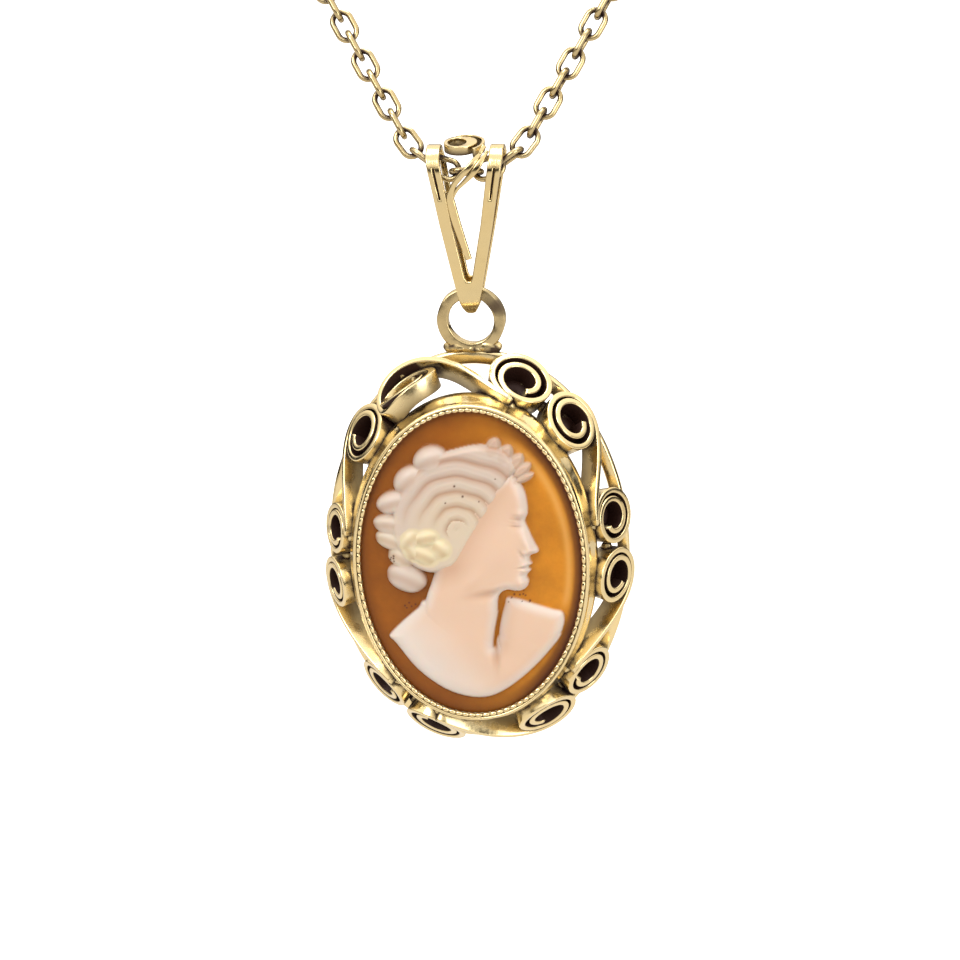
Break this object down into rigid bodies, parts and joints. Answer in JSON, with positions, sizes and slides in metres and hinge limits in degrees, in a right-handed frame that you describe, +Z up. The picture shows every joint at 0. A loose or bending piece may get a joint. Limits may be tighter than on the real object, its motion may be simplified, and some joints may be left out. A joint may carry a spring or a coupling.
{
  "type": "cameo pendant on a chain",
  "caption": "Oval shell cameo in a beaded bezel and openwork scroll setting, hung by a split V bail on a fine cable chain loop.",
  "frame": {"origin": "middle of the clasp ring, where the chain rests on the back of the neck", "axes": "+Z up, -Y the way the cameo faces, +X to the right as seen from the front"},
  "size_m": [0.107, 0.0657, 0.1898],
  "materials": {
    "chain_gold": "worn polished pale yellow gold",
    "bail_gold": "polished pale yellow gold",
    "setting_gold": "polished pale yellow gold, tarnished in its recesses",
    "shell": "carved two-layer shell, white over amber"
  },
  "bodies": {
    "chain": {"chain_left": "chain_gold", "chain_right": "chain_gold", "clasp": "chain_gold"},
    "bail": {"bail": "bail_gold"},
    "pendant": {"setting": "setting_gold", "cameo": "shell"}
  },
  "joints": [
    {"name": "bail_swing", "type": "hinge", "parent": "chain", "child": "bail", "pos_m": [0, -0.05804, -0.14366], "axis": [1, 0, 0], "range_deg": [-70, 70]},
    {"name": "pendant_swing", "type": "hinge", "parent": "bail", "child": "pendant", "pos_m": [0, -0.05804, -0.15301], "axis": [1, 0, 0], "range_deg": [-75, 75]}
  ]
}
